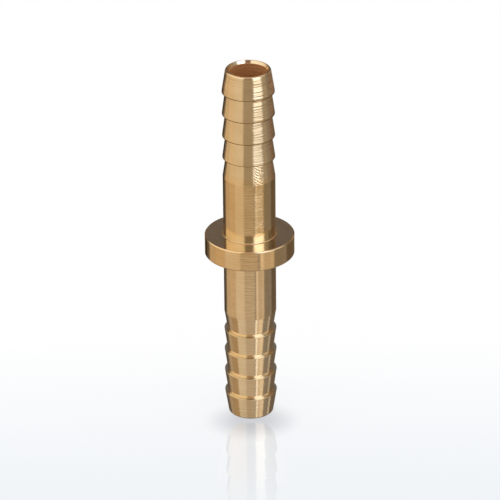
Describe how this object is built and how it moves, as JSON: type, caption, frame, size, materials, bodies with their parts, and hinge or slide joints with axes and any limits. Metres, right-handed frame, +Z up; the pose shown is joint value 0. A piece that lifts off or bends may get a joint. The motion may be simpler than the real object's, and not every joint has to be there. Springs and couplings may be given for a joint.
{
  "type": "hose mender",
  "caption": "Straight turned brass tube with a barbed tail at each end and a plain round collar in the middle, for joining cut lengths of hose.",
  "frame": {"origin": "centre of the lower end face, where the mender stands", "axes": "+Z up along the bore's axis; the part is round about Z and the same both ways up"},
  "size_m": [0.0186, 0.0186, 0.079],
  "materials": {
    "brass": "bright, finely turned"
  },
  "bodies": {
    "root": {"hose_mender": "brass"}
  },
  "joints": []
}
